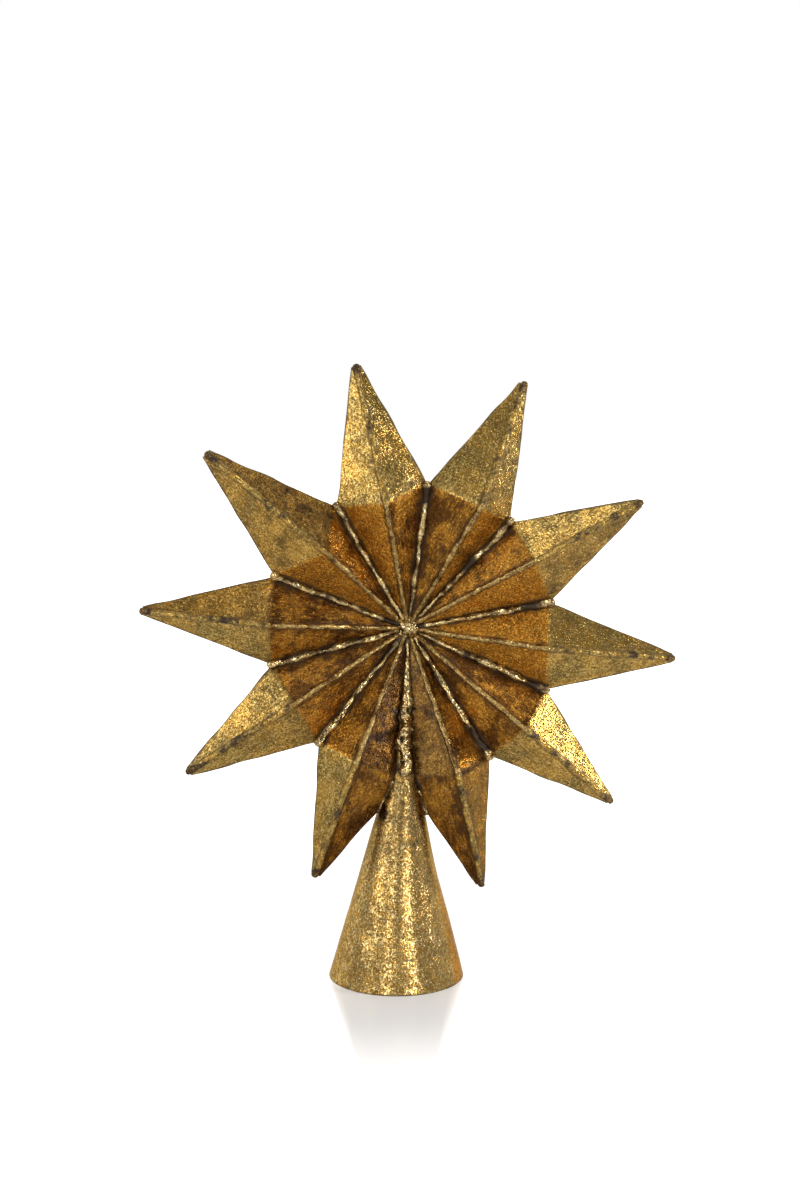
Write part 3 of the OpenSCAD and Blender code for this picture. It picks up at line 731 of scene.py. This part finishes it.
coneFinish = dict(
    # The edges of two leaves: height up the axis, how fast their glaze thins from there, the middle and
    # half width in degrees round the cone, and how fast it thins beyond that width
    laps=((16, 1.6, 285, 18, 0.4), (33, 2.2, 250, 9, 0.5)), lapWave=0.8, lapWaveSize=6, lapGap=0.1,
    # Amounts that grow from a start over a length, up the axis or in degrees round the cone
    # Painted shade: the rising film, the shoulder and the sheet's band darken the top under the star
    filmAndShade=(0.42, 50, 32), shoulderShade=(0.5, 70, 18), shoulderSides=(1, 16, 36), sheetShade=(0.12, 66, 22),
    lacquerLoss=(0.5, 10, 50),
    filmLeast=0.03, shoulderAngle=266, neckBurnAndShade=0.55, neckHeight=102, neckLong=6, pitBurn=0.5, pitReach=1.8,
    lacquer=0.9, lacquerAngle=347, lacquerWide=26, rimGap=0.3,
)

def makeCone(look, finish):
    # Outer skin from the rim up, then the inside: its radius is (length - h) taper at a height h up the axis.
    a =np.linspace(0, 2 * np.pi, look["around"], endpoint=False)[None]
    tilt = coneTaper * np.cos(a) * np.sin(lean)
    rimHeight = look["length"] * tilt / (np.cos(lean) + tilt)  # where each line down the skin meets z = 0
    up, down = np.linspace(0, 1, look["outside"])[:, None], np.linspace(1, 0, look["inside"])[:, None]
    share = np.concatenate([up, down, np.full((look["rimSteps"], 1), 0)])
    under = np.linspace(look["wall"], 0, look["rimSteps"] + 2)[1:-1, None]
    depth = np.concatenate([0 * up, 0 * down + look["wall"], under])
    h = rimHeight + (coneTop - rimHeight) * share
    ring = np.cos(a)[..., None] * coneSide + np.sin(a)[..., None] * np.array([0, 1, 0])
    skin = h[..., None] * coneAxis + ring * ((look["length"] - h) * coneTaper)[..., None]
    dent = look["dent"] * (lumps(skin, look["dentSize"], 6.2) - 1)  # inwards only, the ripples too
    dent = dent + look["ripple"] * (lumps(skin, look["rippleSize"], 7.4) - 1)
    aside = (np.degrees(a) - look["pitAngle"]) / 57.3 * (look["length"] - h) * coneTaper  # degrees to mm
    pit = np.hypot(h - look["pitHeight"], aside)
    dent = dent - look["pit"] * hump(pit, 0, look["pitWide"])
    flat = hump(h, look["hollowHeight"], look["hollowLong"]) * (0.5 + 0.5 * np.cos(a))
    dent = dent - look["hollow"] * flat
    p = skin + ring * (dent - depth)[..., None]
    p[..., 2] = np.maximum(p[..., 2], 0)
    p = np.concatenate([p, p[:1]])  # back to the first ring, so that the wall is closed
    h, angle = p @ coneAxis, np.degrees(a) + 0 * p[..., 0]
    uv = np.stack([np.radians(angle) * look["radius"], p[..., 2]], -1)
    # Glaze at the edge of one leaf over the next and in a pit near the top, and painted shade where the
    # star's sheet meets it, up the top and at the top's sides
    wave = finish["lapWave"] * lumps(p, finish["lapWaveSize"], 1.7)
    laps = [
        np.abs(h - high + wave) * fast + fastAside * np.maximum(np.abs(angle - at) - wide, 0)
        for high, fast, at, wide, fastAside in finish["laps"]]
    pit = finish["pitBurn"] * hump(np.concatenate([pit, pit[:1]]), 0, finish["pitReach"])
    neck = finish["neckBurnAndShade"] * hump(h, finish["neckHeight"], finish["neckLong"])
    toSide = np.abs(angle - finish["shoulderAngle"])
    shoulderShade = rising(h, *finish["shoulderShade"]) * rising(toSide, *finish["shoulderSides"])
    lacquer = finish["lacquer"] - rising(h, *finish["lacquerLoss"])
    fields = dict(
        filmAndShade=rising(h, *finish["filmAndShade"]) + shoulderShade + finish["filmLeast"],
        amber=hump(angle, finish["lacquerAngle"], finish["lacquerWide"]) * lacquer,
        rim=np.minimum(np.abs(p[..., 2]) + finish["rimGap"], 9),
        seam=np.minimum(*laps) + finish["lapGap"],
        burntAndShade=np.maximum(pit, neck + rising(h, *finish["sheetShade"])))
    finishPiece("cone_shell", p, fields, uv, coneGilt)

makeCone(cone, coneFinish)
print("cone made")

apexBead = dict(
    start=6, radius=3.1, sink=0.25, reach=(-0.1, 1.08),
    # Five lumps: where along it, how large, and over what share of it
    places=(0, 0.3, 0.55, 0.8, 1), sizes=(0.82, 1, 0.86, 0.97, 0.9), lumpRadius=4.2, lumpLong=0.09,
    around=90, steps=200, ends=(3.2, 3.0), wander=0.7, tuck=0.45,
    lump=0.4, lumpSize=5.2, pock=0.2, pockSize=2,
    clean=1.1, coneFoot=0.3, leastBurn=-0.05, patchBurn=0.3, patchBurnSize=4.4, shine=0.9,
    neckBurnAndShade=0.5, neckHeight=99.5, neckLong=3,  # a brown neck, with painted shade where it meets the cone's top
    # Burnt pits left by the torch, down to a thin skin: x, z, half width, half height and depth
    pits=(
        (1.9, 115.6, 1.2, 1.9, 1.5), (6.9, 117, 1, 3, 1.2),
        (1.6, 104.8, 1.1, 1.3, 1.2), (5.8, 128.3, 1, 1.1, 0.9)),
    pitSkin=0.2,
)

def makeApex(look):
    low = coneSkin(cone["length"] - cone["notchDrop"] + look["start"], -1)
    middle = coneSkin(coneTop, -1)
    share = np.linspace(*look["reach"], look["steps"])
    onCone, onStar = between(low, middle, 2 * share), between(middle, apexHigh, 2 * share - 1)
    path = np.where((share < 0.5)[:, None], onCone, onStar) + [0, look["sink"], 0]
    five = zip(look["places"], look["sizes"])
    lump = [size * look["lumpRadius"] * hump(share, at, look["lumpLong"]) for at, size in five]
    radius = np.maximum(look["radius"], np.max(lump, axis=0))
    grid, uv = beadGrid(path, radius, look, 3.1, look["tuck"], onCone=True)
    away = np.minimum(proud(grid), np.maximum(coneGap(grid), 0) + look["coneFoot"])
    burntAndShade = look["leastBurn"] + look["patchBurn"] * lumps(grid, look["patchBurnSize"], 9.7)
    burntAndShade = burntAndShade + look["neckBurnAndShade"] * hump(grid @ coneAxis, look["neckHeight"], look["neckLong"])
    for x, z, wide, high, deep in look["pits"]:
        pit = np.exp(-(((grid[..., 0] - x) / wide) ** 2) - ((grid[..., 2] - z) / high) ** 2)
        burntAndShade = np.maximum(burntAndShade, pit)
        grid[..., 1] += pit * np.clip(away - look["pitSkin"], 0, deep)
    fields = dict(amber=1.0, seam=np.maximum(away, 0) * look["clean"], burntAndShade=burntAndShade, shine=look["shine"])
    finishPiece("apex_braze", grid, fields, uv, brazeGilt)

makeApex(apexBead)

sideBead = dict(
    before=0.12, leftReach=0.9, rightReach=0.7, sink=0.3, radius=1.1,
    drop=1.9, dropTuck=1.6, dropLong=3,  # a drop, which goes round the sheet's edge
    around=26, steps=60, ends=(1.9, 1.0), wander=0.15, tuck=0.4,
    lump=0.2, lumpSize=2.6, pock=0.12, pockSize=1.2, seam=1.6, burntAndShade=0.1, dropBurn=0.45, dropBurnLong=5,
)

def leavingPoint(a, b):  # where the line from a, inside the cone, to b leaves its skin
    t = np.linspace(0, 1, 2001)
    return between(a, b, t[np.argmax(coneGap(between(a, b, t)) > 0)])

def makeSideBeads(look):
    for word, i in (("left", lowValley + 1), ("right", lowValley)):
        reach = look[word + "Reach"]
        edge = leavingPoint(notches[lowValley], points[i])
        bend = leavingPoint(notches[lowValley], crests[i])
        finish = between(edge, bend, reach)
        s = np.linspace(-look["before"], 1, look["steps"])
        path = between(edge, finish, s) + [0, look["sink"], 0]
        run = (s - s[0]) * norm(finish - edge)
        drop = 1 - soften(run / look["dropLong"])
        radius = look["radius"] + (look["drop"] - look["radius"]) * drop
        tuck = look["tuck"] + look["dropTuck"] * drop
        grid, uv = beadGrid(path, radius, look, 7.7 + reach, tuck, onCone=True)
        burntAndShade = look["dropBurn"] * (1 - soften(run / look["dropBurnLong"]))[:, None] + look["burntAndShade"]
        fields = dict(amber=1.0, seam=look["seam"], burntAndShade=burntAndShade)
        finishPiece(f"cone_braze_{word}", grid, fields, uv, brazeGilt)

makeSideBeads(sideBead)

rearSeam = dict(
    low=0.4, drop=26, radius=1.0, around=24, steps=160, ends=(0.8, 2.0), wander=0.1, tuck=0.3,
    lump=0.15, lumpSize=3, pock=0.1, pockSize=1.2, clean=3, burntAndShade=0.1,
    starTuck=99,  # behind the star's sheet, so it isn't drawn up to that
)

def makeRearSeam(look):
    low, high = coneSkin(look["low"], 1), coneSkin(cone["length"] - look["drop"], 1)
    s = np.linspace(0, 1, look["steps"])
    path = between(low, high, s)
    grid, uv = beadGrid(path, np.full(len(s), look["radius"]), look, 2.2, look["starTuck"])
    grid = settleOnCone(grid, look["tuck"])
    grid[..., 2] = np.maximum(grid[..., 2], 0)
    fields = dict(amber=0.0, seam=np.maximum(coneGap(grid) * look["clean"], 0), burntAndShade=look["burntAndShade"])
    finishPiece("cone_seam", grid, fields, uv, ridgeGilt)

makeRearSeam(rearSeam)
print("cone beads made")

# Stage: a pale glossy table, a white sweep behind it, and five soft boxes.
table = dict(
    size=40000, low=0.1, colour="#F2F2F2", roughness=0.13, lift=(0.08, 0.4, 1.0), far=(150, 420),
    # Where the glow drops, drawn as the cone's mirror image on it: where it starts, its slant, half width,
    # narrowing, soft sides and fading
    start=33, slant=0.12, wide=28, narrowing=0.16, sides=(0.85, 1.12), fade=(20, 100), behind=(-8, -30),
)

def makeTable(look):
    half = look["size"] * mm / 2
    corners = [(-half, -half), (half, -half), (half, half), (-half, half)]
    mesh = bpy.data.meshes.new("table")
    mesh.from_pydata([(x, y, -look["low"] * mm) for x, y in corners], [], [(0, 1, 2, 3)])
    top = bpy.data.objects.new("table", mesh)
    scene.collection.objects.link(top)
    material = bpy.data.materials.new("whiteAcrylic")
    material.use_nodes = True
    tree = material.node_tree
    tree.nodes.clear()
    add = partial(addNode, tree)
    # A glow, white to the camera, dimmed in front of the cone in a patch drawn as its mirror image: a painted
    # outline, inside which the table's own reflection and shadow of it show
    seen = add("LightPath", {}, "Is Camera Ray")
    place = add("TexCoord", {}, "Object")
    ahead = add("VectorMath", {0: place, 1: (0, -1, 0)}, 1, operation="DOT_PRODUCT")
    ahead = add("Math", {0: ahead, 1: look["start"] * mm}, operation="SUBTRACT")
    across = add("VectorMath", {0: place, 1: (1, -look["slant"], 0)}, 1, operation="DOT_PRODUCT")
    across = add("Math", {0: across}, operation="ABSOLUTE")
    width = add("Math", {0: ahead, 1: -look["narrowing"], 2: look["wide"] * mm}, operation="MULTIPLY_ADD")
    share = add("Math", {0: across, 1: width}, operation="DIVIDE")
    aside = add("MapRange", {0: share, 1: look["sides"][0], 2: look["sides"][1], 3: 0, 4: 1}, **smooth)
    outside = aside
    for start, finish in (look["fade"], look["behind"]):
        faded = add("MapRange", {0: ahead, 1: start * mm, 2: finish * mm, 3: 0, 4: 1}, **smooth)
        outside = add("Math", {0: outside, 1: faded}, operation="MAXIMUM")
    low, middle, high = look["lift"]
    away = add("VectorMath", {0: place}, 1, operation="LENGTH")
    near, far = look["far"]
    further = add("MapRange", {
        0: away, 1: near * mm, 2: far * mm, 3: low, 4: low + high - middle}, **smooth)
    lift = add("Math", {0: outside, 1: middle - low, 2: further}, operation="MULTIPLY_ADD")
    glow = add("Math", {0: seen, 1: lift}, operation="MULTIPLY")
    shader = add("BsdfPrincipled", {
        "Base Color": toLinear(look["colour"]), "Roughness": look["roughness"],
        "Emission Color": (1, 1, 1, 1), "Emission Strength": glow})
    tree.links.new(shader, tree.nodes.new("ShaderNodeOutputMaterial").inputs["Surface"])
    mesh.materials.append(material)

makeTable(table)

room = dict(front=0.27, sweep=0.9, start=0.0, end=0.5)

def makeRoom(look):
    # White to the camera all round. Metal sees the white sweep behind the star and a dimmer room in front.
    world = bpy.data.worlds.new("room")
    scene.world = world
    world.use_nodes = True
    tree = world.node_tree
    tree.nodes.clear()
    add = partial(addNode, tree)
    way = add("TexCoord", {}, "Generated")
    rearward = add("SeparateXYZ", {0: way}, 1)
    share = add("MapRange", {
        0: rearward, 1: look["start"], 2: look["end"], 3: look["front"], 4: look["sweep"]}, **smooth)
    path = tree.nodes.new("ShaderNodeLightPath").outputs
    mirrored = add("Math", {0: path["Is Glossy Ray"], 1: path["Is Transmission Ray"]}, operation="MAXIMUM")
    behind = add("MapRange", {0: rearward, 1: look["start"], 2: look["end"], 3: 0, 4: 1})
    mirrored = add("Math", {0: mirrored, 1: behind}, operation="MULTIPLY")
    white = add("Math", {0: path["Is Camera Ray"], 1: mirrored}, operation="MAXIMUM")
    lit = add("Background", {
        "Color": (1, 1, 1, 1), "Strength": add("Mix", {0: white, 2: share, 3: 1.0})})
    tree.links.new(lit, tree.nodes.new("ShaderNodeOutputWorld").inputs["Surface"])

makeRoom(room)

# Aimed at a place in millimetres, from an azimuth (to the viewer's right) and elevation; metres, radiance
softBoxes = dict(
    right=dict(aim=(80, -8, 113), az=72.5, el=17.5, away=0.8, size=(0.11, 0.12), glow=58),
    left=dict(aim=(-40, 0, 230), az=-63, el=14, away=0.85, size=(0.5, 0.42), glow=3.4),
    above=dict(aim=(8, 0, 200), az=12, el=66, away=1.3, size=(0.5, 0.4), glow=4.6),
    frontLeft=dict(aim=(0, 0, 60), az=-25, el=14, away=1.3, size=(0.14, 0.9), glow=5.5),
    frontRight=dict(aim=(0, 0, 60), az=20, el=14, away=1.3, size=(0.14, 0.9), glow=11),
)

def makeSoftBox(name, box):
    # Power for a radiance: radiance times pi times area.
    data = bpy.data.lights.new(name, "AREA")
    data.shape = "RECTANGLE"
    data.size, data.size_y = box["size"]
    data.energy = box["glow"] * np.pi * data.size * data.size_y
    az, el = np.radians(box["az"]), np.radians(box["el"])
    out = Vector((np.sin(az) * np.cos(el), -np.cos(az) * np.cos(el), np.sin(el)))
    lamp = bpy.data.objects.new(name, data)
    scene.collection.objects.link(lamp)
    lamp.location = Vector(box["aim"]) * mm + out * box["away"]
    lamp.rotation_euler = out.to_track_quat("Z", "Y").to_euler()

for name, box in softBoxes.items():
    makeSoftBox(name, box)
print("stage set")

bpy.context.view_layer.update()
